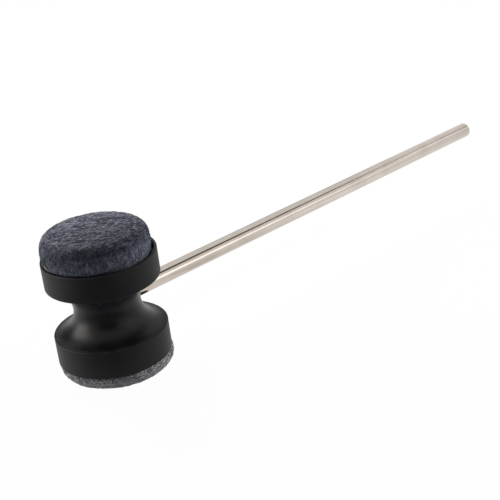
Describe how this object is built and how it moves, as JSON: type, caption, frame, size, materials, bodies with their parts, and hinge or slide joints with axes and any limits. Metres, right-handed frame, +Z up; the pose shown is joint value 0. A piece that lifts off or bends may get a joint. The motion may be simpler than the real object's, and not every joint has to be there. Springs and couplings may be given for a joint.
{
  "type": "bass drum beater",
  "caption": "Double-sided bass drum beater: black spool head with a felt pad in each end cup, set-screwed to a bright plated steel shaft that a pedal clamps.",
  "frame": {"origin": "centre of the lower striking face", "axes": "+Z up the axis of the head to the upper striking face, +X along the shaft to its free end; the set screw enters the waist from +Y"},
  "size_m": [0.2885, 0.051, 0.068],
  "materials": {
    "plated_steel": "bright nickel plate over a ground bar",
    "black_plastic": "satin moulded",
    "navy_felt": "pressed wool felt, dark navy grey",
    "glue": "dried contact adhesive",
    "brass": "turned",
    "black_steel": "black oxide",
    "nylon": "natural nylon"
  },
  "bodies": {
    "shaft": {"shaft": "plated_steel"},
    "head": {"spool_body": "black_plastic", "upper_felt_pad": "navy_felt", "lower_felt_pad": "navy_felt", "upper_glue_layer": "glue", "lower_glue_layer": "glue", "set_screw_insert": "brass"},
    "clamp_pad": {"clamp_pad": "nylon"},
    "set_screw": {"set_screw": "black_steel"}
  },
  "joints": [
    {"name": "head_turn", "type": "hinge", "parent": "shaft", "child": "head", "pos_m": [0, 0, 0.032], "axis": [1, 0, 0], "continuous": true},
    {"name": "clamp_pad_slide", "type": "slide", "parent": "head", "child": "clamp_pad", "axis": [0, 1, 0], "range_m": [0, 0.002]},
    {"name": "set_screw_turn", "type": "hinge", "parent": "clamp_pad", "child": "set_screw", "pos_m": [0, 0, 0.032], "axis": [0, 1, 0], "range_deg": [0, 720]}
  ],
  "couplings": [
    {"joint": "set_screw_turn", "follows": "clamp_pad_slide", "rad_per_m": 6283.2}
  ]
}
